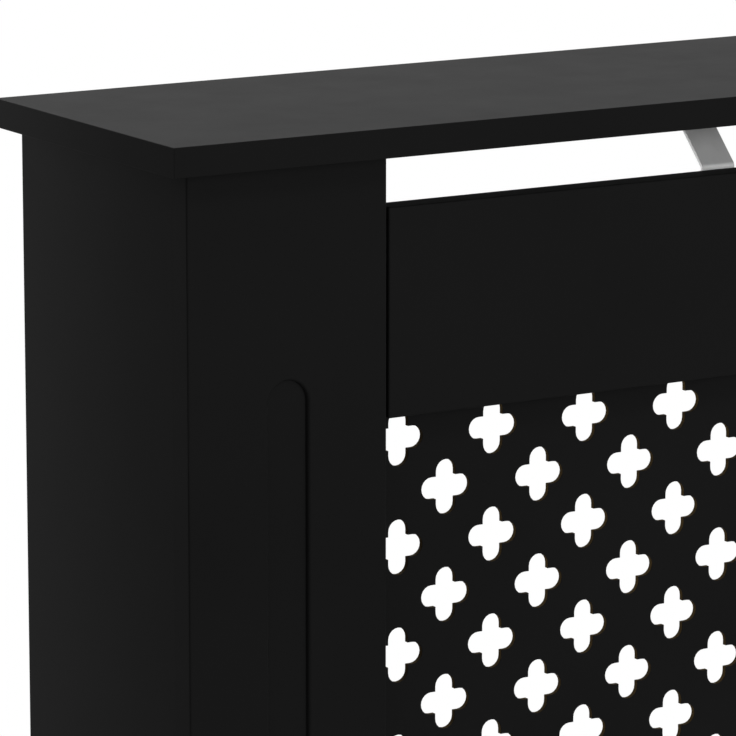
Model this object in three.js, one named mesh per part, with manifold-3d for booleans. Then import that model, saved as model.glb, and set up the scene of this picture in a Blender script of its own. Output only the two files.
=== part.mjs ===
// A rigid cover that stands over a wall radiator: lacquered boards, a front frame with a pierced
// lattice, an air slot under the top board and a toe gap over the floor. The back is open.
//
// Millimetres. +X runs along the front from left to right, +Y back to the wall, +Z up.
// The origin is on the floor, under the middle of the cover.

import * as THREE from 'three';
import { mergeVertices } from 'three/addons/utils/BufferGeometryUtils.js';
import Module from 'manifold-3d';

const wasm = await Module();
wasm.setup();

// ---- The whole cover -------------------------------------------------------------------------

const WIDTH = 1020; // top board, end to end
const DEPTH = 190; // front edge of the top board to the wall
const HEIGHT = 815; // floor to the top surface
const BOARD_THICKNESS = 15;
const SIDE_OVERHANG = 14.5; // top board past each side panel
const FRONT_OVERHANG = 14.25; // top board past the front frame

// ---- Front frame -----------------------------------------------------------------------------

const STILE_WIDTH = 113;
const AIR_SLOT = 27.25; // under the top board, over the top rail
const TOP_RAIL_HEIGHT = 107;
const BOTTOM_RAIL_HEIGHT = 107;
const TOE_GAP = 78.5; // floor to the bottom rail
const RAIL_SEAM = 1.25; // between the end of a rail and its stile

// The pocket is a shallow upright slot with round ends, sunk into the face of each stile.
const POCKET_WIDTH = 22.5;
const POCKET_DEPTH = 2.5;
const POCKET_RISE = 25.5; // past the lattice opening, at the top and at the bottom

// ---- Lattice ---------------------------------------------------------------------------------

const LATTICE_THICKNESS = 3;
const LATTICE_LAP = 20; // behind the frame, all round the opening
const CROSS_SPAN = 28.8; // tip to tip
const CROSS_ARM = 11.6; // width of an arm
const CROSS_STEP = 28.2; // from one row, or column, of crosses to the next
const LATTICE_SCREW_SETBACK = 82; // from a stile to the nearest screw on a rail

// ---- Joints and fittings ---------------------------------------------------------------------

const CLEARANCE = 0.3; // round a shank, a stem or a dowel in its hole

const BATTEN_SIZE = 20; // square corner batten
const BATTEN_SETBACK = 30; // from each end of the side panel

const DOWEL_RADIUS = 4;
const DOWEL_LENGTH = 20;
const DOWEL_END_GAP = 1; // bore past the end of the dowel
const TOP_DOWEL_SETBACK = 35; // from the front and back edges of a side panel

const STEEL_THICKNESS = 2;
const STRAP_WIDTH = 20;
const STRAP_SETBACK = 337.5; // from the end of the top board to the middle of the strap
const STRAP_RISE = 2; // top rail's edge to the lower bend
const STRAP_RAIL_LEG = 42;
const STRAP_TOP_LEG = 38;
const STRAP_SCREW_INSET = 9; // free end of a leg to its first screw
const STRAP_SCREW_PITCH = 16;

const PLATE_LENGTH = 90;
const PLATE_WIDTH = 20;
const PLATE_SCREW_INSET = 11;

const WALL_BRACKET_SETBACK = 200; // from the end of the top board to the middle of the bracket
const WALL_BRACKET_WIDTH = 20;
const WALL_BRACKET_LEG = 30;
const WALL_BRACKET_HOLE_INSET = 11; // free end of a leg to its hole
const WALL_HOLE_RADIUS = 2.5;

const SCREW_SHANK_RADIUS = 1.75;
const SCREW_HEAD_RADIUS = 3.75;
const SCREW_CROWN_RADIUS = 2.5; // flat on top of the head
const SCREW_HEAD_HEIGHT = 2;
const SCREW_LENGTH = 12;
const SCREW_TIP = 3;

const GLIDE_RADIUS = 6;
const GLIDE_HEIGHT = 3;
const GLIDE_CHAMFER = 1;
const GLIDE_STEM_RADIUS = 1.2;
const GLIDE_STEM_LENGTH = 12;
const GLIDE_SETBACK = 25; // rear glide from the wall

// ---- Facets ----------------------------------------------------------------------------------

const SCREW_SIDES = 8;
const DOWEL_SIDES = 10;
const GLIDE_SIDES = 12;
const POCKET_END_STEPS = 12;
const CUTTER_OVERRUN = 1; // a cutter past the face that it enters

// ---- Places that follow ----------------------------------------------------------------------

const front = -DEPTH / 2;
const back = DEPTH / 2;
const frameFront = front + FRONT_OVERHANG;
const frameBack = frameFront + BOARD_THICKNESS;
const frameMiddle = (frameFront + frameBack) / 2;
const topUnderside = HEIGHT - BOARD_THICKNESS;
const uprightBottom = GLIDE_HEIGHT;

const sideOuter = WIDTH / 2 - SIDE_OVERHANG;
const sideInner = sideOuter - BOARD_THICKNESS;
const sideMiddle = (sideOuter + sideInner) / 2;
const stileInner = sideOuter - STILE_WIDTH;
const stileMiddle = (sideOuter + stileInner) / 2;
const railEnd = stileInner - RAIL_SEAM;

const topRailTop = topUnderside - AIR_SLOT;
const openingTop = topRailTop - TOP_RAIL_HEIGHT;
const openingBottom = TOE_GAP + BOTTOM_RAIL_HEIGHT;
const openingMiddle = (openingTop + openingBottom) / 2;

const latticeBack = frameBack + LATTICE_THICKNESS;
const latticeTop = openingTop + LATTICE_LAP;
const latticeBottom = openingBottom - LATTICE_LAP;
const latticeSide = stileInner + LATTICE_LAP;

const X = new THREE.Vector3(1, 0, 0);
const Y = new THREE.Vector3(0, 1, 0);
const Z = new THREE.Vector3(0, 0, 1);
const SIDES = [['left', -1], ['right', 1]];

// ---- Finishes --------------------------------------------------------------------------------

function finish(color, roughness, metalness) {
  return new THREE.MeshStandardMaterial({ color, roughness, metalness });
}

const blackLacquer = finish(0x191919, 0.4, 0);
const blackHardboard = finish(0x171717, 0.5, 0);
const softwood = finish(0xc9a878, 0.8, 0);
const beech = finish(0xd2ab7a, 0.7, 0);
const satinSteel = finish(0x7d7d7d, 0.45, 1);
const zinc = finish(0xa8aaad, 0.35, 1);
const blackPlastic = finish(0x1c1c1c, 0.5, 0);

// ---- Building and cutting --------------------------------------------------------------------

const cover = new THREE.Group();

// Adds a named piece, with its geometry's origin at place.
function addPiece(name, geometry, material, place) {
  const mesh = new THREE.Mesh(geometry, material);
  mesh.name = name;
  mesh.position.copy(place);
  cover.add(mesh);
  return mesh;
}

// A block that fills the given ranges of X, Y and Z.
function addBlock(name, material, xRange, yRange, zRange) {
  const ranges = [xRange, yRange, zRange];
  const size = ranges.map(([low, high]) => high - low);
  const middle = ranges.map(([low, high]) => (low + high) / 2);
  return addPiece(name, new THREE.BoxGeometry(...size), material, new THREE.Vector3(...middle));
}

// A range of distances from the middle plane, as a range of X on the side with that sign.
function onSide(sign, inner, outer) {
  return sign > 0 ? [inner, outer] : [-outer, -inner];
}

// The solid of a geometry, moved by a matrix.
function toSolid(geometry, matrix) {
  const bare = geometry.clone().applyMatrix4(matrix);
  bare.deleteAttribute('normal');
  bare.deleteAttribute('uv');
  const merged = mergeVertices(bare);
  return new wasm.Manifold(new wasm.Mesh({
    numProp: 3,
    vertProperties: merged.attributes.position.array,
    triVerts: merged.index.array,
  }));
}

// Cuts a placed cutter out of a placed piece.
function cut(mesh, cutter) {
  mesh.updateMatrixWorld();
  cutter.updateMatrixWorld();
  const intoMesh = mesh.matrixWorld.clone().invert().multiply(cutter.matrixWorld);
  const solid = toSolid(mesh.geometry, new THREE.Matrix4());
  const left = solid.subtract(toSolid(cutter.geometry, intoMesh)).getMesh();
  mesh.geometry = new THREE.BufferGeometry();
  mesh.geometry.setAttribute('position', new THREE.BufferAttribute(left.vertProperties, left.numProp));
  mesh.geometry.setIndex(new THREE.BufferAttribute(left.triVerts, 1));
  mesh.geometry.computeVertexNormals();
}

// Drills a round hole into a piece. The mouth lies on the face, and outward points out of it.
function drill(mesh, mouth, outward, radius, depth, sides) {
  const length = depth + CUTTER_OVERRUN;
  const cutter = new THREE.Mesh(new THREE.CylinderGeometry(radius, radius, length, sides));
  cutter.position.copy(mouth).addScaledVector(outward, CUTTER_OVERRUN - length / 2);
  cutter.quaternion.setFromUnitVectors(Y, outward);
  cut(mesh, cutter);
}

// A body turned from a profile of [radius, height] points, its axis along outward.
function addTurned(name, material, profile, sides, place, outward) {
  const points = profile.map(([radius, height]) => new THREE.Vector2(radius, height));
  const mesh = addPiece(name, new THREE.LatheGeometry(points, sides), material, place);
  mesh.quaternion.setFromUnitVectors(Y, outward);
  return mesh;
}

// A profile in the plane of Y and Z, made as wide as width along X, with its middle at place.
function addFolded(name, material, profile, width, place) {
  const outline = new THREE.Shape(profile.map(([y, z]) => new THREE.Vector2(y, z)));
  const geometry = new THREE.ExtrudeGeometry(outline, { depth: width, bevelEnabled: false });
  geometry.translate(0, 0, -width / 2);
  const mesh = addPiece(name, geometry, material, place);
  mesh.quaternion.setFromRotationMatrix(new THREE.Matrix4().makeBasis(Y, Z, X));
  return mesh;
}

// A pan-head screw. Its head rests at seat, and its shank goes through or into each piece.
function addScrew(name, seat, outward, pieces) {
  const profile = [
    [0, -SCREW_LENGTH],
    [SCREW_SHANK_RADIUS, SCREW_TIP - SCREW_LENGTH],
    [SCREW_SHANK_RADIUS, 0],
    [SCREW_HEAD_RADIUS, 0],
    [SCREW_HEAD_RADIUS, SCREW_HEAD_HEIGHT / 2],
    [SCREW_CROWN_RADIUS, SCREW_HEAD_HEIGHT],
    [0, SCREW_HEAD_HEIGHT],
  ];
  addTurned(name, zinc, profile, SCREW_SIDES, seat, outward);
  for (const piece of pieces) {
    drill(piece, seat, outward, SCREW_SHANK_RADIUS + CLEARANCE, SCREW_LENGTH + CLEARANCE, SCREW_SIDES);
  }
}

// A dowel along axis, bored into the piece ahead and the piece behind of a seam at middle.
function addDowel(name, middle, axis, seam, ahead, behind) {
  const dowel = new THREE.CylinderGeometry(DOWEL_RADIUS, DOWEL_RADIUS, DOWEL_LENGTH, DOWEL_SIDES);
  addPiece(name, dowel, beech, middle).quaternion.setFromUnitVectors(Y, axis);
  const depth = (DOWEL_LENGTH - seam) / 2 + DOWEL_END_GAP;
  for (const [piece, sense] of [[ahead, -1], [behind, 1]]) {
    const outward = axis.clone().multiplyScalar(sense);
    const mouth = middle.clone().addScaledVector(outward, -seam / 2);
    drill(piece, mouth, outward, DOWEL_RADIUS + CLEARANCE, depth, DOWEL_SIDES);
  }
}

// ---- Boards ----------------------------------------------------------------------------------

const topBoard = addBlock('top_board', blackLacquer,
  [-WIDTH / 2, WIDTH / 2], [front, back], [topUnderside, HEIGHT]);

const sidePanels = {};
const stiles = {};
for (const [side, sign] of SIDES) {
  sidePanels[side] = addBlock(`${side}_side_panel`, blackLacquer,
    onSide(sign, sideInner, sideOuter), [frameBack, back], [uprightBottom, topUnderside]);
  stiles[side] = addBlock(`${side}_stile`, blackLacquer,
    onSide(sign, stileInner, sideOuter), [frameFront, frameBack], [uprightBottom, topUnderside]);
  cutPocket(stiles[side], sign * stileMiddle);
}

const rails = {
  top: addBlock('top_rail', blackLacquer,
    [-railEnd, railEnd], [frameFront, frameBack], [openingTop, topRailTop]),
  bottom: addBlock('bottom_rail', blackLacquer,
    [-railEnd, railEnd], [frameFront, frameBack], [TOE_GAP, openingBottom]),
};

// Sinks the pocket, a slot with half-round ends, into the front of a stile.
function cutPocket(stile, x) {
  const radius = POCKET_WIDTH / 2;
  const endHeight = (openingTop - openingBottom) / 2 + POCKET_RISE - radius;
  const outline = new THREE.Shape();
  outline.absarc(0, endHeight, radius, 0, Math.PI);
  outline.absarc(0, -endHeight, radius, Math.PI, 2 * Math.PI);
  const depth = POCKET_DEPTH + CUTTER_OVERRUN;
  const slot = new THREE.ExtrudeGeometry(outline, {
    depth, bevelEnabled: false, curveSegments: POCKET_END_STEPS,
  });
  const cutter = new THREE.Mesh(slot);
  cutter.rotation.x = Math.PI / 2;
  cutter.position.set(x, frameFront + POCKET_DEPTH, openingMiddle);
  cut(stile, cutter);
}

// ---- Lattice ---------------------------------------------------------------------------------

// The middles of the crosses: every other place of a square grid, so that each row sits between
// the crosses of the rows above and below. The grid fills the opening and is centred in it.
function crossMiddles() {
  const stepsAcross = 2 * Math.floor((stileInner - CROSS_SPAN / 2) / CROSS_STEP);
  const stepsUp = Math.floor((openingTop - openingBottom - CROSS_SPAN) / CROSS_STEP);
  const middles = [];
  for (let row = 0; row <= stepsUp; row += 1) {
    for (let column = row % 2; column <= stepsAcross; column += 2) {
      const x = (column - stepsAcross / 2) * CROSS_STEP;
      middles.push([x, openingMiddle + (stepsUp / 2 - row) * CROSS_STEP]);
    }
  }
  return middles;
}

// A cross with square arms round a middle.
function crossShape([x, z]) {
  const tip = CROSS_SPAN / 2;
  const arm = CROSS_ARM / 2;
  const corners = [];
  for (let quarter = 0; quarter < 4; quarter += 1) {
    for (const [ahead, aside] of [[tip, -arm], [tip, arm], [arm, arm]]) {
      const corner = new THREE.Vector2(ahead, aside);
      corners.push(corner.rotateAround(new THREE.Vector2(), quarter * Math.PI / 2).add({ x, y: z }));
    }
  }
  return new THREE.Shape(corners);
}

const lattice = addBlock('lattice_panel', blackHardboard,
  [-latticeSide, latticeSide], [frameBack, latticeBack], [latticeBottom, latticeTop]);

function pierceLattice() {
  const depth = LATTICE_THICKNESS + 2 * CUTTER_OVERRUN;
  const crosses = new THREE.ExtrudeGeometry(crossMiddles().map(crossShape), { depth, bevelEnabled: false });
  const cutter = new THREE.Mesh(crosses);
  cutter.rotation.x = Math.PI / 2;
  cutter.position.y = latticeBack + CUTTER_OVERRUN;
  cut(lattice, cutter);
}

pierceLattice();

// Screws round the edge of the lattice, halfway across the lap.
for (const [side, sign] of SIDES) {
  const seat = new THREE.Vector3(sign * (stileInner + LATTICE_LAP / 2), latticeBack, openingMiddle);
  addScrew(`${side}_lattice_screw`, seat, Y, [lattice, stiles[side]]);
}
for (const [place, sign] of [...SIDES, ['middle', 0]]) {
  const x = sign * (stileInner - LATTICE_SCREW_SETBACK);
  const topSeat = new THREE.Vector3(x, latticeBack, openingTop + LATTICE_LAP / 2);
  addScrew(`top_${place}_lattice_screw`, topSeat, Y, [lattice, rails.top]);
  const bottomSeat = new THREE.Vector3(x, latticeBack, openingBottom - LATTICE_LAP / 2);
  addScrew(`bottom_${place}_lattice_screw`, bottomSeat, Y, [lattice, rails.bottom]);
}

// ---- Corner battens and dowels ---------------------------------------------------------------

for (const [side, sign] of SIDES) {
  addBlock(`${side}_corner_batten`, softwood,
    onSide(sign, sideInner - BATTEN_SIZE, sideInner), [frameBack, frameBack + BATTEN_SIZE],
    [uprightBottom + BATTEN_SETBACK, topUnderside - BATTEN_SETBACK]);

  for (const [end, y] of [['front', frameBack + TOP_DOWEL_SETBACK], ['rear', back - TOP_DOWEL_SETBACK]]) {
    const middle = new THREE.Vector3(sign * sideMiddle, y, topUnderside);
    addDowel(`${side}_${end}_top_dowel`, middle, Z, 0, topBoard, sidePanels[side]);
  }

  for (const [level, rail] of Object.entries(rails)) {
    const seamMiddle = new THREE.Vector3(sign * (stileInner - RAIL_SEAM / 2), frameMiddle, rail.position.z);
    const outward = X.clone().multiplyScalar(sign);
    addDowel(`${side}_${level}_rail_dowel`, seamMiddle, outward, RAIL_SEAM, stiles[side], rail);
  }
}

// ---- Steel joining plates, behind the seams between rails and stiles -------------------------

// Each plate sits on the part of its rail that the lattice leaves free.
const plateHeights = {
  top: (topRailTop + latticeTop) / 2,
  bottom: (TOE_GAP + latticeBottom) / 2,
};
const plateBack = frameBack + STEEL_THICKNESS;

for (const [side, sign] of SIDES) {
  for (const [level, z] of Object.entries(plateHeights)) {
    const seamX = sign * (stileInner - RAIL_SEAM / 2);
    const plate = addBlock(`${side}_${level}_joining_plate`, zinc,
      [seamX - PLATE_LENGTH / 2, seamX + PLATE_LENGTH / 2], [frameBack, plateBack],
      [z - PLATE_WIDTH / 2, z + PLATE_WIDTH / 2]);
    const reach = PLATE_LENGTH / 2 - PLATE_SCREW_INSET;
    const ends = [['outer', sign * reach, stiles[side]], ['inner', -sign * reach, rails[level]]];
    for (const [end, offset, piece] of ends) {
      const seat = new THREE.Vector3(seamX + offset, plateBack, z);
      addScrew(`${side}_${level}_plate_${end}_screw`, seat, Y, [plate, piece]);
    }
  }
}

// ---- Steel straps that tie the top rail to the top board -------------------------------------

// From the back of the rail each strap rises past its edge, slopes back at 45 degrees to the
// underside of the top board and runs on under it. The profile starts at the lower bend.
function strapProfile() {
  const slope = AIR_SLOT - STRAP_RISE;
  const mitre = STEEL_THICKNESS * Math.tan(Math.PI / 8);
  return [
    [0, -STRAP_RAIL_LEG],
    [STEEL_THICKNESS, -STRAP_RAIL_LEG],
    [STEEL_THICKNESS, -mitre],
    [slope + mitre, slope - STEEL_THICKNESS],
    [slope + STRAP_TOP_LEG, slope - STEEL_THICKNESS],
    [slope + STRAP_TOP_LEG, slope],
    [slope, slope],
    [0, 0],
  ];
}

for (const [side, sign] of SIDES) {
  const x = sign * (WIDTH / 2 - STRAP_SETBACK);
  const bend = new THREE.Vector3(x, frameBack, topRailTop + STRAP_RISE);
  const strap = addFolded(`${side}_strap`, satinSteel, strapProfile(), STRAP_WIDTH, bend);
  const legEnd = bend.z - STRAP_RAIL_LEG;
  const topLegEnd = frameBack + AIR_SLOT - STRAP_RISE + STRAP_TOP_LEG;
  for (const [end, step] of [['first', 0], ['second', 1]]) {
    const inset = STRAP_SCREW_INSET + step * STRAP_SCREW_PITCH;
    const railSeat = new THREE.Vector3(x, frameBack + STEEL_THICKNESS, legEnd + inset);
    addScrew(`${side}_strap_rail_${end}_screw`, railSeat, Y, [strap, rails.top]);
    const topSeat = new THREE.Vector3(x, topLegEnd - inset, topUnderside - STEEL_THICKNESS);
    addScrew(`${side}_strap_top_${end}_screw`, topSeat, Z.clone().negate(), [strap, topBoard]);
  }
}

// ---- Angle brackets that hold the cover to the wall ------------------------------------------

// The profile starts at the corner between the wall and the top board.
const anglePoints = [
  [0, 0],
  [-WALL_BRACKET_LEG, 0],
  [-WALL_BRACKET_LEG, -STEEL_THICKNESS],
  [-STEEL_THICKNESS, -STEEL_THICKNESS],
  [-STEEL_THICKNESS, -WALL_BRACKET_LEG],
  [0, -WALL_BRACKET_LEG],
];

for (const [side, sign] of SIDES) {
  const cornerX = sign * (WIDTH / 2 - WALL_BRACKET_SETBACK);
  const corner = new THREE.Vector3(cornerX, back, topUnderside);
  const bracket = addFolded(`${side}_wall_bracket`, zinc, anglePoints, WALL_BRACKET_WIDTH, corner);
  const holeReach = WALL_BRACKET_LEG - WALL_BRACKET_HOLE_INSET;
  const wallHole = corner.clone().addScaledVector(Z, -holeReach);
  drill(bracket, wallHole, Y, WALL_HOLE_RADIUS, STEEL_THICKNESS + CUTTER_OVERRUN, SCREW_SIDES);
  const seat = new THREE.Vector3(cornerX, back - holeReach, topUnderside - STEEL_THICKNESS);
  addScrew(`${side}_wall_bracket_screw`, seat, Z.clone().negate(), [bracket, topBoard]);
}

// ---- Plastic glides under the stiles and the side panels -------------------------------------

const glideProfile = [
  [0, 0],
  [GLIDE_RADIUS - GLIDE_CHAMFER, 0],
  [GLIDE_RADIUS, GLIDE_CHAMFER],
  [GLIDE_RADIUS, GLIDE_HEIGHT],
  [GLIDE_STEM_RADIUS, GLIDE_HEIGHT],
  [GLIDE_STEM_RADIUS, GLIDE_HEIGHT + GLIDE_STEM_LENGTH],
  [0, GLIDE_HEIGHT + GLIDE_STEM_LENGTH],
];

for (const [side, sign] of SIDES) {
  const spots = [
    ['front', stileMiddle, frameMiddle, stiles[side]],
    ['rear', sideMiddle, back - GLIDE_SETBACK, sidePanels[side]],
  ];
  for (const [end, x, y, upright] of spots) {
    const foot = new THREE.Vector3(sign * x, y, 0);
    addTurned(`${side}_${end}_glide`, blackPlastic, glideProfile, GLIDE_SIDES, foot, Z);
    const mouth = new THREE.Vector3(sign * x, y, uprightBottom);
    drill(upright, mouth, Z.clone().negate(), GLIDE_STEM_RADIUS + CLEARANCE,
      GLIDE_STEM_LENGTH + CLEARANCE, SCREW_SIDES);
  }
}

export default cover;
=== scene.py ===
"""The finished look of a radiator cover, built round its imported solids. Metres, +Z up."""

import math

import bmesh
import bpy
from mathutils import Matrix, Vector
from mathutils.geometry import delaunay_2d_cdt


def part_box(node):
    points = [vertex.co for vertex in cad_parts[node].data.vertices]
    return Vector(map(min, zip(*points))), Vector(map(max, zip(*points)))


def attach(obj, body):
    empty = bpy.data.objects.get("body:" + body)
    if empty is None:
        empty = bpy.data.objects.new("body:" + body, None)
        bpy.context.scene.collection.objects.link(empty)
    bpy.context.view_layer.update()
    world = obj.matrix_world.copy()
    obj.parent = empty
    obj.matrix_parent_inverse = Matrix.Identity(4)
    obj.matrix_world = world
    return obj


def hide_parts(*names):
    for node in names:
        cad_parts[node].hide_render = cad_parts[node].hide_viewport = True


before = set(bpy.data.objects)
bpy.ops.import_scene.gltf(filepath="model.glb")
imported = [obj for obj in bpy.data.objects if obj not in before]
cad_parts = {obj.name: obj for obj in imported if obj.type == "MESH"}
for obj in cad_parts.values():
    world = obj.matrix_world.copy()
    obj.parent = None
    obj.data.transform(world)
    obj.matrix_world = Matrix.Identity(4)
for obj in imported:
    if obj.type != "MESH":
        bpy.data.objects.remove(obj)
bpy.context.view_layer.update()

MM = 0.001
BODY = "root"
SIDES = ("left", "right")
FULL_TURN = 2 * math.pi
HALF_TURN = math.pi
QUARTER_TURN = math.pi / 2
EIGHTH_TURN = math.pi / 4

# ---- Sizes of the finished surfaces that the solids leave out --------------------------------

EDGE_EASE = 1 * MM  # rounding of the board edges
TOP_EASE = 0.3 * MM  # rounding of the top board's edges
JOINT_EASE = 0.1 * MM  # at a joint that shows no seam
EASE_STEPS = 3
POCKET_EASE = 1.7 * MM
POCKET_FOOT = 0.2 * MM  # the wall leans in by this, and opens out again onto the floor
POCKET_ARC_STEPS = 40
CROSS_EASE = 0.25 * MM
CROSS_EASE_STEPS = 2
CROSS_ARC_STEPS = 10

STEEL_EASE = 0.3 * MM
STEEL_CORNER = 3 * MM
STEEL_CORNER_STEPS = 8
BEND_RADIUS = 1.5 * MM  # inside of a fold in the steel
BEND_STEPS = 8
HOLE_STEPS = 32

TURNED_STEPS = 40
THREAD_PITCH = 1.3 * MM
THREAD_DEPTH = 0.45 * MM
THREAD_CREST = 0.4  # of the pitch, from the start of a turn to its crest
THREAD_FLANK = 0.8  # of the pitch, from the start of a turn to the end of its second flank
THREAD_RUNOUT = 0.2  # of the pitch, from the head's seat to a ring just below the last turn's end
HEAD_EASE = 0.15 * MM  # under the rim of a screw head
HEAD_RIM = 0.9 * MM  # top of the rim, over the seat
HEAD_FULLNESS = 0.7  # power of the crown's curve: 1 is an ellipse, and less is fuller
HEAD_STEPS = 8
RECESS_WIDTH = 0.9 * MM
RECESS_REACH = 2.2 * MM  # from the middle of the head
RECESS_DEPTH = 1.1 * MM
RECESS_FLOOR_WIDTH = 0.7  # of the width at the top
RECESS_FLOOR_REACH = 0.45  # of the reach at the top
CUTTER_OVERRUN = 0.5 * MM
SCREW_TURN = 0.9  # radians from one screw's recess to the next
GLIDE_ROUNDING = 1 * MM
GLIDE_STEPS = 6

# ---- Sizes repeated from the solids, because a node's box doesn't give them -------------------

POCKET_WIDTH = 22.5 * MM
POCKET_DEPTH = 2.5 * MM
POCKET_RISE = 25.5 * MM  # past the lattice opening, at the top and at the bottom
CROSS_SPAN = 28.8 * MM  # tip to tip
CROSS_ARM = 11.6 * MM
CROSS_STEP = 28.2 * MM
STRAP_RISE = 2 * MM  # top rail's edge to the lower bend
WALL_BRACKET_HOLE_INSET = 11 * MM
WALL_HOLE_RADIUS = 2.5 * MM
SCREW_SHANK_RADIUS = 1.75 * MM
SCREW_HEAD_RADIUS = 3.75 * MM
SCREW_HEAD_HEIGHT = 2 * MM
SCREW_LENGTH = 12 * MM
SCREW_TIP = 3 * MM
GLIDE_RADIUS = 6 * MM
GLIDE_HEIGHT = 3 * MM
GLIDE_STEM_RADIUS = 1.2 * MM


# ---- Pieces ----------------------------------------------------------------------------------

def add_object(name, data):
    """A new object in the scene."""
    thing = bpy.data.objects.new(name, data)
    bpy.context.scene.collection.objects.link(thing)
    return thing


def take_mesh(name, bm):
    """A mesh of a bmesh, which is freed."""
    mesh = bpy.data.meshes.new(name)
    bm.to_mesh(mesh)
    bm.free()
    return mesh


def place_mesh(name, mesh, slot, *nodes, matrix=Matrix.Identity(4)):
    """Places a mesh as a piece that stands for CAD nodes."""
    piece = add_object(name, mesh)
    piece.matrix_world = matrix
    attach(piece, BODY)
    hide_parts(*nodes)
    return piece


def finish_piece(name, bm, material, slot, *nodes):
    """Turns a bmesh into a piece that stands for CAD nodes."""
    bmesh.ops.recalc_face_normals(bm, faces=bm.faces)
    mesh = take_mesh(name, bm)
    mesh.materials.append(material)
    piece = place_mesh(name, mesh, slot, *nodes)
    shade_smooth(piece)
    return piece


def shade_smooth(piece):
    """Smooth shading that keeps the flat faces flat."""
    for polygon in piece.data.polygons:
        polygon.use_smooth = True
    weighted = piece.modifiers.new("normals", "WEIGHTED_NORMAL")
    weighted.keep_sharp = True
    weighted.weight = 100


# ---- Rings and the faces between them --------------------------------------------------------

INSIDE_LOOPS = 1  # the triangulation keeps only what lies inside a loop
LEAST_DISTANCE = 1e-9  # points nearer than this count as one
OUTER_EDGE, HOLE = -1, 1  # an eased edge shrinks the outline of a sheet and grows that of a hole


def add_ring(bm, points, depth):
    """One vertex for each (x, z) point, at the same y."""
    return [bm.verts.new((x, depth, z)) for x, z in points]


def bridge(bm, first, second):
    """Quads between two rings of as many vertices."""
    count = len(first)
    for i in range(count):
        j = (i + 1) % count
        bm.faces.new((first[i], first[j], second[j], second[i]))


def bridge_all(bm, rings):
    """Quads between each ring and the next."""
    for first, second in zip(rings, rings[1:]):
        bridge(bm, first, second)


def fill(bm, outer, holes=()):
    """Triangles over the flat area between an outer ring and the rings of its holes."""
    rings = [outer, *holes]
    verts = [vert for ring in rings for vert in ring]
    points = [Vector((vert.co.x, vert.co.z)) for vert in verts]
    loops, start = [], 0
    for ring in rings:
        loops.append(list(range(start, start + len(ring))))
        start += len(ring)
    result = delaunay_2d_cdt(points, [], loops, INSIDE_LOOPS, LEAST_DISTANCE)
    _, _, faces, origins, _, owners = result
    for face, owner in zip(faces, owners):
        if list(owner) == [0]:
            bm.faces.new([verts[origins[i][0]] for i in face])


def close_sheet(bm, outer_rings, hole_rings):
    """Fills both faces of a sheet, round its holes."""
    fill(bm, outer_rings[0], [rings[0] for rings in hole_rings])
    fill(bm, outer_rings[-1], [rings[-1] for rings in hole_rings])


def ease_profile(ease, steps):
    """(inset, depth) of a quarter round, from the face to the wall."""
    turns = [QUARTER_TURN * k / steps for k in range(steps + 1)]
    return [(ease * (1 - math.sin(turn)), ease * (1 - math.cos(turn))) for turn in turns]


def eased_wall(bm, outline, sense, front, back, ease, steps, back_ease=None):
    """Rings of a wall with a quarter round at each face. sense is OUTER_EDGE or HOLE."""
    front_profile = ease_profile(ease, steps)
    back_profile = ease_profile(back_ease or ease, steps)
    rings = [add_ring(bm, outline(sense * inset), front + depth) for inset, depth in front_profile]
    rings += [add_ring(bm, outline(sense * inset), back - depth)
              for inset, depth in reversed(back_profile)]
    bridge_all(bm, rings)
    return rings


# ---- Outlines: each is a function from an offset to the (x, z) points of the grown shape ------

def arc(centre, radius, start, turn, steps):
    """Points (x, z) along an arc, both ends included."""
    angles = [start + turn * k / steps for k in range(steps + 1)]
    return [(centre[0] + radius * math.cos(angle), centre[1] + radius * math.sin(angle))
            for angle in angles]


def rectangle_outline(low, high):
    """A rectangle from its low corner to its high one."""
    def outline(offset):
        x0, x1 = low[0] - offset, high[0] + offset
        z0, z1 = low[1] - offset, high[1] + offset
        return [(x0, z0), (x1, z0), (x1, z1), (x0, z1)]
    return outline


def rounded_outline(low, high, radius, steps):
    """A rectangle with round corners."""
    x0, x1 = low[0] + radius, high[0] - radius
    z0, z1 = low[1] + radius, high[1] - radius

    def outline(offset):
        points = []
        for quarter, centre in enumerate(((x1, z1), (x0, z1), (x0, z0), (x1, z0))):
            points += arc(centre, radius + offset, quarter * QUARTER_TURN, QUARTER_TURN, steps)
        return points
    return outline


def circle_outline(centre, radius, steps):
    """A circle."""
    def outline(offset):
        return arc(centre, radius + offset, 0, FULL_TURN, steps)[:-1]
    return outline


def stadium_outline(x, low, high, radius, steps):
    """An upright slot with half-round ends, between two heights."""
    def outline(offset):
        upper = arc((x, high - radius), radius + offset, 0, HALF_TURN, steps)
        return upper + arc((x, low + radius), radius + offset, HALF_TURN, HALF_TURN, steps)
    return outline


def cross_outline(x, z):
    """A cross with half-round arm ends."""
    reach = CROSS_SPAN / 2 - CROSS_ARM / 2

    def outline(offset):
        arm = CROSS_ARM / 2 + offset
        notch = arm * math.sqrt(2)  # middle of the cross to the corner between two arms
        points = []
        for quarter in range(4):
            turn = quarter * QUARTER_TURN
            centre = (x + reach * math.cos(turn), z + reach * math.sin(turn))
            points += arc(centre, arm, turn - QUARTER_TURN, HALF_TURN, CROSS_ARC_STEPS)
            corner = turn + EIGHTH_TURN
            points.append((x + notch * math.cos(corner), z + notch * math.sin(corner)))
        return points
    return outline


# ---- Shader nodes ----------------------------------------------------------------------------

NOISE_LOW, NOISE_HIGH = 0.3, 0.7  # most of a noise's values lie between these


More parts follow.
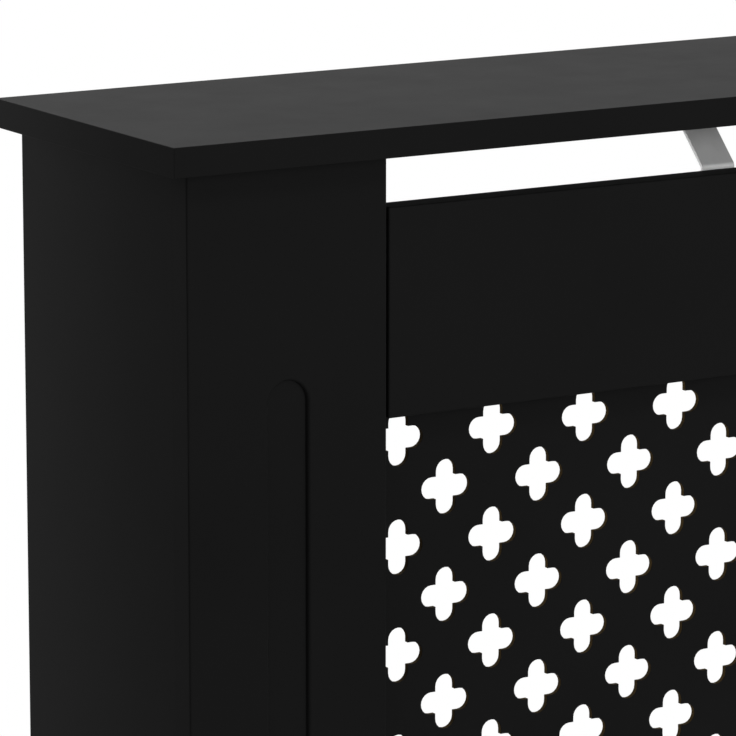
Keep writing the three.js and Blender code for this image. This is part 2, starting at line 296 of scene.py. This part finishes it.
def new_material(name, roughness, metallic=0.0, specular=0.5):
    """A material with its node tree and its shader."""
    material = bpy.data.materials.new(name)
    material.use_nodes = True
    shader = material.node_tree.nodes["Principled BSDF"]
    shader.inputs["Roughness"].default_value = roughness
    shader.inputs["Metallic"].default_value = metallic
    shader.inputs["Specular IOR Level"].default_value = specular
    return material, material.node_tree, shader


def add_node(tree, kind, settings=(), **inputs):
    """Adds a shader node. Inputs are given by name, with _ for a space: a value, or a socket to link."""
    node = tree.nodes.new(kind)
    for key, value in dict(settings).items():
        setattr(node, key, value)
    for key, value in inputs.items():
        socket = node.inputs[key.replace("_", " ")]
        if isinstance(value, bpy.types.NodeSocket):
            tree.links.new(value, socket)
        else:
            socket.default_value = value
    return node


def object_coordinates(tree, scale=(1, 1, 1)):
    """Places on the object, in metres. A scale below 1 draws a noise out along its axis."""
    coordinates = add_node(tree, "ShaderNodeTexCoord").outputs["Object"]
    return add_node(tree, "ShaderNodeMapping", Vector=coordinates, Scale=scale).outputs["Vector"]


def noise(tree, vector, scale, detail=2.0, roughness=0.5, distortion=0.0):
    """A noise with scale features to the metre."""
    node = add_node(tree, "ShaderNodeTexNoise", Vector=vector, Scale=scale, Detail=detail,
                    Roughness=roughness, Distortion=distortion)
    return node.outputs["Fac"]


def ramp(tree, factor, *stops):
    """A colour ramp with (position, grey or colour) stops."""
    node = add_node(tree, "ShaderNodeValToRGB", Fac=factor)
    elements = node.color_ramp.elements
    while len(elements) < len(stops):
        elements.new(0.5)
    for element, (position, colour) in zip(elements, stops):
        element.position = position
        element.color = (*colour, 1) if isinstance(colour, tuple) else (colour, colour, colour, 1)
    return node.outputs["Color"]


def shades(tree, value, dark, light):
    """Maps a noise to colours."""
    return ramp(tree, value, (NOISE_LOW, dark), (NOISE_HIGH, light))


def map_noise(tree, value, low, high):
    """Maps a noise to a range of values."""
    node = add_node(tree, "ShaderNodeMapRange", Value=value, From_Min=NOISE_LOW, From_Max=NOISE_HIGH,
                    To_Min=low, To_Max=high)
    return node.outputs["Result"]


def multiply_colours(tree, colour, tint, share):
    """A colour times a tint, by a share."""
    node = add_node(tree, "ShaderNodeMix", {"data_type": "RGBA", "blend_type": "MULTIPLY"})
    factor, first, second = node.inputs[0], node.inputs[6], node.inputs[7]
    factor.default_value = share
    tree.links.new(colour, first)
    tree.links.new(tint, second)
    return node.outputs[2]


def combine(tree, operation, first, second):
    """A math node over two sockets."""
    node = add_node(tree, "ShaderNodeMath", {"operation": operation})
    tree.links.new(first, node.inputs[0])
    tree.links.new(second, node.inputs[1])
    return node.outputs[0]


def mix_shaders(tree, factor, first, second):
    """The first shader where the factor is 0, and the second where it is 1."""
    node = add_node(tree, "ShaderNodeMixShader", Fac=factor)
    tree.links.new(first, node.inputs[1])
    tree.links.new(second, node.inputs[2])
    return node.outputs[0]


def bump(tree, shader, height, strength, distance, normal=None):
    """Bumps a shader, over the bumps of an earlier normal."""
    node = add_node(tree, "ShaderNodeBump", Height=height, Strength=strength, Distance=distance)
    if normal is not None:
        tree.links.new(normal, node.inputs["Normal"])
    tree.links.new(node.outputs["Normal"], shader.inputs["Normal"])
    return node.outputs["Normal"]


# ---- Materials -------------------------------------------------------------------------------

LACQUER_SPECULAR = 0.008
LACQUER_TONES = (0.0076, 0.0084)
WOOD_GRAIN = (1, 1, 0.06)  # scale of the noises, which are drawn out upwards


def make_lacquer(name, roughness):
    """Sprayed satin lacquer: faint clouds in its tone and sheen, and a fine orange peel."""
    material, tree, shader = new_material(name, roughness[0], specular=LACQUER_SPECULAR)
    place = object_coordinates(tree)
    clouds = noise(tree, place, scale=9, detail=3)
    tree.links.new(shades(tree, clouds, *LACQUER_TONES), shader.inputs["Base Color"])
    sheen_clouds = noise(tree, place, scale=26, detail=4, roughness=0.6)
    tree.links.new(map_noise(tree, sheen_clouds, *roughness), shader.inputs["Roughness"])
    peel = noise(tree, place, scale=420, detail=1)
    grain = noise(tree, place, scale=1900, detail=2)
    waves = bump(tree, shader, peel, strength=0.12, distance=0.05 * MM)
    bump(tree, shader, grain, strength=0.15, distance=0.02 * MM, normal=waves)
    return material


def make_raw_fibre():
    """Cut edge of brown hardboard, stained dark by the lacquer."""
    material, tree, shader = new_material("raw_fibre_edge", roughness=0.85, specular=0.03)
    place = object_coordinates(tree)
    across = object_coordinates(tree, (1, 6, 1))
    fibres = noise(tree, across, scale=900, detail=4, roughness=0.7)
    stains = noise(tree, place, scale=60, detail=2)
    brown = ramp(tree, fibres, (0.25, (0.028, 0.017, 0.005)), (0.75, (0.060, 0.038, 0.012)))
    stained = multiply_colours(tree, brown, shades(tree, stains, dark=0.6, light=1.0), share=1.0)
    tree.links.new(stained, shader.inputs["Base Color"])
    bump(tree, shader, fibres, strength=0.6, distance=0.08 * MM)
    return material


def make_steel(name, tones, roughness, grain=(1, 1, 1), metallic=1.0):
    """Rolled steel. grain is the scale of its lines, less than 1 along an axis that they follow."""
    material, tree, shader = new_material(name, roughness[0], metallic=metallic)
    place = object_coordinates(tree)
    along = object_coordinates(tree, grain)
    lines = noise(tree, along, scale=700, detail=4, roughness=0.6)
    clouds = noise(tree, place, scale=90, detail=3)
    tree.links.new(shades(tree, clouds, *tones), shader.inputs["Base Color"])
    tree.links.new(map_noise(tree, lines, *roughness), shader.inputs["Roughness"])
    bump(tree, shader, lines, strength=0.2, distance=0.02 * MM)
    return material


def make_wood(name, dark, light, roughness):
    """Planed wood: growth rings drawn out along the grain, with pores."""
    material, tree, shader = new_material(name, roughness, specular=0.3)
    along = object_coordinates(tree, WOOD_GRAIN)
    rings = noise(tree, along, scale=130, detail=3, distortion=0.6)
    pores = noise(tree, along, scale=1500, detail=3, roughness=0.7)
    colour = ramp(tree, rings, (0.3, dark), (0.5, light), (0.58, dark), (0.72, light))
    speckles = ramp(tree, pores, (0.35, 0.55), (0.5, 1.0))
    speckled = multiply_colours(tree, colour, speckles, share=0.5)
    tree.links.new(speckled, shader.inputs["Base Color"])
    bump(tree, shader, pores, strength=0.35, distance=0.06 * MM)
    return material


def make_plastic():
    """Black moulded plastic with a fine spark-eroded texture."""
    material, tree, shader = new_material("black_glide_plastic", roughness=0.5, specular=0.4)
    texture = noise(tree, object_coordinates(tree), scale=2200, detail=2)
    tree.links.new(shades(tree, texture, dark=0.010, light=0.016), shader.inputs["Base Color"])
    tree.links.new(map_noise(tree, texture, low=0.45, high=0.6), shader.inputs["Roughness"])
    bump(tree, shader, texture, strength=0.3, distance=0.03 * MM)
    return material


lacquer = make_lacquer("satin_black_lacquer", roughness=(0.41, 0.45))
edge_lacquer = make_lacquer("edge_black_lacquer", roughness=(0.54, 0.60))
lattice_lacquer = make_lacquer("lattice_black_lacquer", roughness=(0.44, 0.50))
raw_fibre = make_raw_fibre()
strap_steel = make_steel("grey_strap_steel", tones=(0.51, 0.57), roughness=(0.55, 0.65),
                         grain=(1, 0.05, 0.05), metallic=0.3)
zinc_plate = make_steel("bright_zinc", tones=(0.50, 0.62), roughness=(0.28, 0.42), grain=(0.2, 1, 1))
zinc_screw = make_steel("screw_zinc", tones=(0.48, 0.62), roughness=(0.25, 0.36))
softwood = make_wood("planed_softwood", dark=(0.44, 0.27, 0.12), light=(0.62, 0.43, 0.23),
                     roughness=0.7)
beech = make_wood("beech_dowel", dark=(0.50, 0.32, 0.17), light=(0.62, 0.42, 0.24),
                  roughness=0.65)
plastic = make_plastic()

# ---- Boards ----------------------------------------------------------------------------------

UPWARD = 0.9  # least upward part of an upper face's normal

rail_low, rail_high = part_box("top_rail")
opening_top = rail_low.z
opening_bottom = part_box("bottom_rail")[1].z
opening_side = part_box("right_stile")[0].x
opening_middle = (opening_top + opening_bottom) / 2


def add_board(node, material, slot, ease=EDGE_EASE, square_front=False):
    """A board with eased edges, as large as its CAD node. A square front makes a joint without a seam."""
    low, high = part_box(node)
    bm = bmesh.new()
    bmesh.ops.create_cube(bm, size=1)
    for vert in bm.verts:
        for axis in range(3):
            vert.co[axis] = high[axis] if vert.co[axis] > 0 else low[axis]
    eased = [edge for edge in bm.edges
             if not (square_front and all(vert.co.y == low.y for vert in edge.verts))]
    bmesh.ops.bevel(bm, geom=eased, offset=ease, segments=EASE_STEPS, profile=0.5, affect="EDGES")
    return finish_piece(f"{node}_finished", bm, material, slot, node)


def add_rail(node):
    """A rail whose cut upper edge takes the lacquer duller than its faces."""
    rail = add_board(node, lacquer, "black_lacquer")
    rail.data.materials.append(edge_lacquer)
    for polygon in rail.data.polygons:
        if polygon.normal.z > UPWARD:
            polygon.material_index = 1


def add_stile(side):
    """A stile with eased edges and a shallow slot with round ends sunk into its face."""
    low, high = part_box(f"{side}_stile")
    bm = bmesh.new()
    outer = rectangle_outline(low.xz, high.xz)
    outer_rings = eased_wall(bm, outer, OUTER_EDGE, low.y, high.y, EDGE_EASE, EASE_STEPS,
                             back_ease=JOINT_EASE)
    fill(bm, outer_rings[-1])

    slot = stadium_outline((low.x + high.x) / 2, opening_bottom - POCKET_RISE,
                           opening_top + POCKET_RISE, POCKET_WIDTH / 2, POCKET_ARC_STEPS)
    floor = low.y + POCKET_DEPTH
    ease = ease_profile(POCKET_EASE, EASE_STEPS)
    foot = ease_profile(POCKET_FOOT, EASE_STEPS)
    rings = [add_ring(bm, slot(inset), low.y + depth) for inset, depth in ease]
    rings += [add_ring(bm, slot(inset - POCKET_FOOT), floor - depth) for inset, depth in reversed(foot)]
    bridge_all(bm, rings)
    fill(bm, rings[-1])
    fill(bm, outer_rings[0], [rings[0]])
    finish_piece(f"{side}_stile_finished", bm, lacquer, "black_lacquer", f"{side}_stile")


add_board("top_board", lacquer, "black_lacquer", ease=TOP_EASE)
add_rail("top_rail")
add_rail("bottom_rail")
for side in SIDES:
    add_board(f"{side}_side_panel", lacquer, "black_lacquer", square_front=True)
    add_stile(side)
    add_board(f"{side}_corner_batten", softwood, "softwood")

for node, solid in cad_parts.items():
    if node.endswith("_dowel"):
        solid.data.materials.clear()
        solid.data.materials.append(beech)


# ---- Lattice ---------------------------------------------------------------------------------

def cross_middles():
    """Every other place of a square grid that fills the opening and is centred in it."""
    steps_across = 2 * math.floor((opening_side - CROSS_SPAN / 2) / CROSS_STEP)
    steps_up = math.floor((opening_top - opening_bottom - CROSS_SPAN) / CROSS_STEP)
    return [((column - steps_across / 2) * CROSS_STEP, opening_middle + (steps_up / 2 - row) * CROSS_STEP)
            for row in range(steps_up + 1) for column in range(row % 2, steps_across + 1, 2)]


def cut_cross(bm, middle, front, back):
    """The walls of one cross, with the second material between its eased edges."""
    first_face = len(bm.faces)
    rings = eased_wall(bm, cross_outline(*middle), HOLE, front, back, CROSS_EASE, CROSS_EASE_STEPS)
    bm.faces.ensure_lookup_table()
    ring_length = len(rings[0])
    wall_start = first_face + CROSS_EASE_STEPS * ring_length
    for index in range(wall_start, wall_start + ring_length):
        bm.faces[index].material_index = 1
    return rings


def add_lattice():
    """A thin sheet pierced with crosses, with bare brown fibre in the walls of the crosses."""
    low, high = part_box("lattice_panel")
    bm = bmesh.new()
    outer = rectangle_outline(low.xz, high.xz)
    outer_rings = eased_wall(bm, outer, OUTER_EDGE, low.y, high.y, CROSS_EASE, CROSS_EASE_STEPS)
    crosses = [cut_cross(bm, middle, low.y, high.y) for middle in cross_middles()]
    close_sheet(bm, outer_rings, crosses)
    piece = finish_piece("lattice_finished", bm, lattice_lacquer, "black_hardboard", "lattice_panel")
    piece.data.materials.append(raw_fibre)


add_lattice()

# ---- Bent and flat steel ---------------------------------------------------------------------

def steel_thickness(side):
    """The straps and brackets are as thick as the joining plates."""
    low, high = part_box(f"{side}_top_joining_plate")
    return high.y - low.y


def flat_bar(length, width, thickness, holes=()):
    """A flat bar from (0, 0, -width / 2): x runs along it, y through it and z across it."""
    bm = bmesh.new()
    outer = rounded_outline((0, -width / 2), (length, width / 2), STEEL_CORNER, STEEL_CORNER_STEPS)
    outer_rings = eased_wall(bm, outer, OUTER_EDGE, 0, thickness, STEEL_EASE, EASE_STEPS)
    hole_rings = []
    for x, z, radius in holes:
        hole = circle_outline((x, z), radius, HOLE_STEPS)
        hole_rings.append(eased_wall(bm, hole, HOLE, 0, thickness, STEEL_EASE, EASE_STEPS))
    close_sheet(bm, outer_rings, hole_rings)
    return bm


def direction(angle):
    """A unit vector at an angle to the flat bar."""
    return Vector((math.cos(angle), math.sin(angle)))


def folded_point(distance, radius, folds):
    """The place at a distance along the folded bar's middle line, and the heading there."""
    place, heading, travelled = Vector((0, 0)), 0.0, 0.0
    for start, turn in folds:
        straight = min(distance, start - travelled)
        place += straight * direction(heading)
        distance -= straight
        curved = min(distance, radius * turn)
        angle = curved / radius
        chord = 2 * radius * math.sin(angle / 2)
        place += chord * direction(heading + angle / 2)
        heading += angle
        distance -= curved
        travelled = start + radius * turn
    return place + distance * direction(heading), heading


def fold_bar(bm, thickness, folds):
    """Folds a flat bar towards its +y side. folds are (where the fold starts along the bar, turn)."""
    neutral = BEND_RADIUS + thickness / 2
    for start, turn in folds:
        for k in range(BEND_STEPS + 1):
            cut = start + neutral * turn * k / BEND_STEPS
            geometry = bm.verts[:] + bm.edges[:] + bm.faces[:]
            bmesh.ops.bisect_plane(bm, geom=geometry, plane_co=(cut, 0, 0), plane_no=(1, 0, 0))
    for vert in bm.verts:
        place, heading = folded_point(vert.co.x, neutral, folds)
        across = vert.co.y - thickness / 2
        x = place.x - across * math.sin(heading)
        y = place.y + across * math.cos(heading) + thickness / 2
        vert.co = (x, y, vert.co.z)


def stand_bar(bm, middle, face, sense, foot):
    """Stands a bar up: its x rises, its y points back, or forward if sense is -1, its z runs across."""
    for vert in bm.verts:
        along, through, across = vert.co
        vert.co = (middle + across, face + sense * through, foot + along)


def add_strap(side):
    """A strap up the back of the top rail, at 45 degrees to the top board and on under it."""
    name = f"{side}_strap"
    low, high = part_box(name)
    thickness = steel_thickness(side)
    lower_bend = rail_high.z + STRAP_RISE
    slope = high.z - lower_bend
    outer_tangent = (BEND_RADIUS + thickness) * math.tan(EIGHTH_TURN / 2)
    neutral_arc = (BEND_RADIUS + thickness / 2) * EIGHTH_TURN
    rail_leg = lower_bend - low.z - outer_tangent
    slope_leg = slope * math.sqrt(2) - 2 * outer_tangent
    top_leg = high.y - low.y - slope - outer_tangent
    bm = flat_bar(rail_leg + slope_leg + top_leg + 2 * neutral_arc, high.x - low.x, thickness)
    fold_bar(bm, thickness, [(rail_leg, EIGHTH_TURN), (rail_leg + neutral_arc + slope_leg, EIGHTH_TURN)])
    stand_bar(bm, (low.x + high.x) / 2, low.y, sense=1, foot=low.z)
    finish_piece(f"{name}_finished", bm, strap_steel, "satin_steel", name)


def add_joining_plate(side, level):
    """A flat plate with round corners, against the backs of a rail and a stile."""
    name = f"{side}_{level}_joining_plate"
    low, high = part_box(name)
    bm = flat_bar(high.x - low.x, high.z - low.z, high.y - low.y)
    bmesh.ops.translate(bm, verts=bm.verts, vec=(low.x, low.y, (low.z + high.z) / 2))
    finish_piece(f"{name}_finished", bm, zinc_plate, "zinc", name)


def add_wall_bracket(side):
    """An angle bracket in the corner between the wall and the top board, with a hole for the wall."""
    name = f"{side}_wall_bracket"
    low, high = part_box(name)
    thickness = steel_thickness(side)
    outer_tangent = BEND_RADIUS + thickness
    neutral_arc = (BEND_RADIUS + thickness / 2) * QUARTER_TURN
    wall_leg = high.z - low.z - outer_tangent
    top_leg = high.y - low.y - outer_tangent
    hole = (WALL_BRACKET_HOLE_INSET, 0, WALL_HOLE_RADIUS)
    bm = flat_bar(wall_leg + top_leg + neutral_arc, high.x - low.x, thickness, [hole])
    fold_bar(bm, thickness, [(wall_leg, QUARTER_TURN)])
    stand_bar(bm, (low.x + high.x) / 2, high.y, sense=-1, foot=low.z)
    finish_piece(f"{name}_finished", bm, zinc_plate, "zinc", name)


for side in SIDES:
    add_strap(side)
    add_wall_bracket(side)
    for level in ("top", "bottom"):
        add_joining_plate(side, level)

# ---- Screws and glides -----------------------------------------------------------------------

MERGE_DISTANCE = 1e-7  # joins the copies of a point on the axis


def turned(name, profile, material):
    """A mesh turned from (radius, height) points round Z."""
    bm = bmesh.new()
    verts = [bm.verts.new((radius, 0, height)) for radius, height in profile]
    edges = [bm.edges.new(pair) for pair in zip(verts, verts[1:])]
    bmesh.ops.spin(bm, geom=verts + edges, cent=(0, 0, 0), axis=(0, 0, 1), angle=FULL_TURN,
                   steps=TURNED_STEPS, use_merge=True)
    bmesh.ops.remove_doubles(bm, verts=bm.verts, dist=MERGE_DISTANCE)
    bmesh.ops.recalc_face_normals(bm, faces=bm.faces)
    mesh = take_mesh(name, bm)
    mesh.materials.append(material)
    return mesh


def screw_profile():
    """A pan head on a pointed, ribbed shank. Height 0 is where the head seats."""
    points = [(0, -SCREW_LENGTH)]
    core = SCREW_SHANK_RADIUS - THREAD_DEPTH
    for k in range(round((SCREW_LENGTH - SCREW_TIP) / THREAD_PITCH)):
        height = SCREW_TIP - SCREW_LENGTH + k * THREAD_PITCH
        points += [(core, height), (SCREW_SHANK_RADIUS, height + THREAD_PITCH * THREAD_CREST),
                   (core, height + THREAD_PITCH * THREAD_FLANK)]
    points += [(core, -THREAD_PITCH * THREAD_RUNOUT), (core, 0)]
    points += [(SCREW_HEAD_RADIUS - HEAD_EASE, 0), (SCREW_HEAD_RADIUS, HEAD_EASE)]
    points.append((SCREW_HEAD_RADIUS, HEAD_RIM))
    for k in range(1, HEAD_STEPS):
        angle = QUARTER_TURN * k / HEAD_STEPS
        points.append((SCREW_HEAD_RADIUS * math.cos(angle) ** HEAD_FULLNESS,
                       HEAD_RIM + (SCREW_HEAD_HEIGHT - HEAD_RIM) * math.sin(angle)))
    points.append((0, SCREW_HEAD_HEIGHT))
    return points


def recess_blade(turn):
    """One arm pair of the cross recess, narrower at its floor."""
    bm = bmesh.new()
    bmesh.ops.create_cube(bm, size=1)
    for vert in bm.verts:
        width, reach, height = RECESS_WIDTH, RECESS_REACH, SCREW_HEAD_HEIGHT + CUTTER_OVERRUN
        if vert.co.z < 0:
            width *= RECESS_FLOOR_WIDTH
            reach *= RECESS_FLOOR_REACH
            height = SCREW_HEAD_HEIGHT - RECESS_DEPTH
        vert.co = (math.copysign(reach, vert.co.x), math.copysign(width / 2, vert.co.y), height)
    bmesh.ops.rotate(bm, verts=bm.verts, cent=(0, 0, 0), matrix=Matrix.Rotation(turn, 3, "Z"))
    return add_object("recess_blade", take_mesh("recess_blade", bm))


def cut_recess(mesh):
    """Cuts a cross recess into the top of the screw head."""
    screw = add_object("recess_blank", mesh)
    blades = [recess_blade(turn) for turn in (0, QUARTER_TURN)]
    for blade in blades:
        boolean = screw.modifiers.new("recess", "BOOLEAN")
        boolean.operation = "DIFFERENCE"
        boolean.solver = "EXACT"
        boolean.object = blade
    graph = bpy.context.evaluated_depsgraph_get()
    finished = bpy.data.meshes.new_from_object(screw.evaluated_get(graph))
    for blank in (screw, *blades):
        bpy.data.objects.remove(blank)
    return finished


def place_screw(node, mesh, index):
    """Puts a screw on its CAD node: the head is at the end away from the board."""
    low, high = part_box(node)
    size = high - low
    axis = max(range(3), key=lambda a: size[a])
    # The head points down on a screw in the top board, and back on one in the frame.
    outward = Vector((0, 0, 0))
    outward[axis] = -1 if axis == 2 else 1
    seat = (low + high) / 2
    if outward[axis] > 0:
        seat[axis] = high[axis] - SCREW_HEAD_HEIGHT
    else:
        seat[axis] = low[axis] + SCREW_HEAD_HEIGHT
    turn = Matrix.Rotation(index * SCREW_TURN, 4, "Z")
    matrix = Matrix.Translation(seat) @ outward.to_track_quat("Z", "Y").to_matrix().to_4x4() @ turn
    place_mesh(f"{node}_finished", mesh, "zinc", node, matrix=matrix)


def glide_profile(top):
    """A rounded foot with a plain stem up to a height."""
    points = [(0, 0)]
    for k in range(GLIDE_STEPS + 1):
        angle = QUARTER_TURN * k / GLIDE_STEPS
        points.append((GLIDE_RADIUS - GLIDE_ROUNDING + GLIDE_ROUNDING * math.sin(angle),
                       GLIDE_ROUNDING * (1 - math.cos(angle))))
    points += [(GLIDE_RADIUS, GLIDE_HEIGHT), (GLIDE_STEM_RADIUS, GLIDE_HEIGHT)]
    points += [(GLIDE_STEM_RADIUS, top), (0, top)]
    return points


def add_glide(node):
    """A glide, with its foot on the floor."""
    low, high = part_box(node)
    mesh = turned(node, glide_profile(high.z), plastic)
    middle = (low + high) / 2
    matrix = Matrix.Translation((middle.x, middle.y, 0))
    place_mesh(f"{node}_finished", mesh, "black_plastic", node, matrix=matrix)


screw_mesh = cut_recess(turned("screw", screw_profile(), zinc_screw))
screw_nodes = sorted(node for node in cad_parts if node.endswith("_screw"))
for index, node in enumerate(screw_nodes):
    place_screw(node, screw_mesh, index)

for side in SIDES:
    for end in ("front", "rear"):
        add_glide(f"{side}_{end}_glide")

# ---- Floor and world -------------------------------------------------------------------------

FLOOR_SIZE = 60  # metres
FLOOR_TONES = (0.80, 0.82)
SHADE_TO = 0.75  # metres from the middle of the floor, which shows its shadows up to here
WHITE_FROM = 1.1  # and is pure white to the camera from here
ROOM_LIGHT = 0.24
WHITE = (1, 1, 1, 1)


def seen_directly(tree):
    """1 for a ray that shows the background: from the camera, or by gloss or glass."""
    path = add_node(tree, "ShaderNodeLightPath").outputs
    gloss = combine(tree, "MAXIMUM", path["Is Glossy Ray"], path["Is Transmission Ray"])
    return combine(tree, "MAXIMUM", path["Is Camera Ray"], gloss)


def make_floor_material():
    """A pale floor that fades to pure white away from the object."""
    material, tree, shader = new_material("pale_floor", roughness=0.7, specular=0.2)
    place = object_coordinates(tree)
    tree.links.new(shades(tree, noise(tree, place, scale=3), *FLOOR_TONES), shader.inputs["Base Color"])
    white = add_node(tree, "ShaderNodeEmission", Color=WHITE, Strength=1.0)
    distance = add_node(tree, "ShaderNodeVectorMath", {"operation": "LENGTH"})
    tree.links.new(place, distance.inputs[0])
    far = add_node(tree, "ShaderNodeMapRange", {"interpolation_type": "SMOOTHSTEP"},
                   Value=distance.outputs["Value"], From_Min=SHADE_TO, From_Max=WHITE_FROM,
                   To_Min=0.0, To_Max=1.0)
    whiteness = combine(tree, "MULTIPLY", far.outputs["Result"], seen_directly(tree))
    mixed = mix_shaders(tree, whiteness, shader.outputs[0], white.outputs[0])
    tree.links.new(mixed, tree.nodes["Material Output"].inputs["Surface"])
    return material


def add_floor():
    """A flat floor under the object."""
    bm = bmesh.new()
    bmesh.ops.create_grid(bm, x_segments=1, y_segments=1, size=FLOOR_SIZE / 2)
    mesh = take_mesh("floor", bm)
    floor = add_object("floor", mesh)
    mesh.materials.append(make_floor_material())


def add_world():
    """A dim room that lights the object, and shows as pure white."""
    world = bpy.data.worlds.new("studio")
    world.use_nodes = True
    tree = world.node_tree
    shown = tree.nodes["Background"]
    shown.inputs["Color"].default_value = WHITE
    shown.inputs["Strength"].default_value = 1.0
    room = add_node(tree, "ShaderNodeBackground", Color=WHITE, Strength=ROOM_LIGHT)
    mixed = mix_shaders(tree, seen_directly(tree), room.outputs[0], shown.outputs[0])
    tree.links.new(mixed, tree.nodes["World Output"].inputs["Surface"])
    bpy.context.scene.world = world


# ---- Lamps and camera ------------------------------------------------------------------------

CAMERA_PLACE = (-1.627, -2.146, 1.1855)
CAMERA_HEADING = 30.85  # degrees from +Y towards +X
CAMERA_PITCH = 11.57  # degrees down
CAMERA_LENS = 241.6  # millimetres
CAMERA_SENSOR = 36  # millimetres wide
CAMERA_RANGE = 100  # metres


def turn_to(thing, look):
    """Turns a lamp or a camera to look along a vector."""
    thing.rotation_euler = look.to_track_quat("-Z", "Y").to_euler()


def add_area_light(name, place, target, size, power, spread=180):
    """A rectangular lamp. power is in watts and spread in degrees."""
    light = bpy.data.lights.new(name, "AREA")
    light.shape = "RECTANGLE"
    light.size, light.size_y = size
    light.energy = power
    light.spread = math.radians(spread)
    lamp = add_object(name, light)
    lamp.location = place
    turn_to(lamp, Vector(target) - Vector(place))
    lamp.visible_camera = False


def add_camera():
    """The camera at the photograph's angle."""
    camera = bpy.data.cameras.new("camera")
    camera.sensor_width = CAMERA_SENSOR
    camera.lens = CAMERA_LENS
    camera.clip_end = CAMERA_RANGE
    eye = add_object("camera", camera)
    eye.location = CAMERA_PLACE
    heading, pitch = math.radians(CAMERA_HEADING), math.radians(CAMERA_PITCH)
    level = math.cos(pitch)
    turn_to(eye, Vector((math.sin(heading) * level, math.cos(heading) * level, -math.sin(pitch))))
    bpy.context.scene.camera = eye


add_floor()
add_world()
add_area_light("key", place=(0.6, -3.0, 1.15), target=(0, 0, 0.6), size=(1.8, 1.7), power=47)
add_area_light("upper", place=(0.4, -2.1, 2.9), target=(0, 0, 0.7), size=(1.6, 0.5), power=14.5)
add_area_light("top", place=(0, 0.3, 3.0), target=(0, 0, 0.8), size=(1.8, 1.2), power=28)
add_area_light("back", place=(-0.5, 3.0, 1.6), target=(0, 0, 0.4), size=(2.0, 1.4), power=40)
add_area_light("rim", place=(0.8, 1.9, 2.9), target=(0, 0, 0.4), size=(1.6, 1.6), power=26)
add_area_light("right", place=(2.6, 0.25, 1.3), target=(0.5, 0, 0.4), size=(1.2, 1.4), power=22)
add_area_light("side", place=(-1.1, 0.75, 0.5), target=(-0.37, 0.095, 0.5), size=(0.1, 1.1), power=0.5,
               spread=24)
add_camera()
bpy.context.scene.view_settings.view_transform = "Standard"
